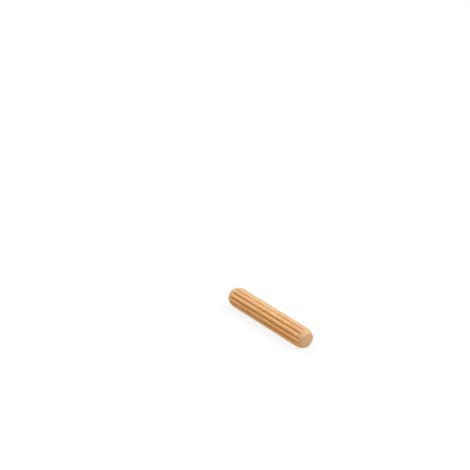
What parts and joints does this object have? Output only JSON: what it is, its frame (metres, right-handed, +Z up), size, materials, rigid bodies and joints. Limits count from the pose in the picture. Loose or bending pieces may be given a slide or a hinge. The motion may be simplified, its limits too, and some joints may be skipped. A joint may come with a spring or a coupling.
{
  "type": "fluted dowel pin",
  "caption": "Straight round wooden pin with lengthwise flutes and a wide, softly rounded chamfer at each end, for gluing two boards edge to edge.",
  "frame": {"origin": "middle of the pin, on its axis", "axes": "+X along the pin's axis, +Z up as the pin lies on a bench with one flute straight down"},
  "size_m": [0.04, 0.008, 0.008],
  "materials": {
    "beech": "bare sanded wood, unfinished"
  },
  "bodies": {
    "root": {"dowel_pin": "beech"}
  },
  "joints": []
}
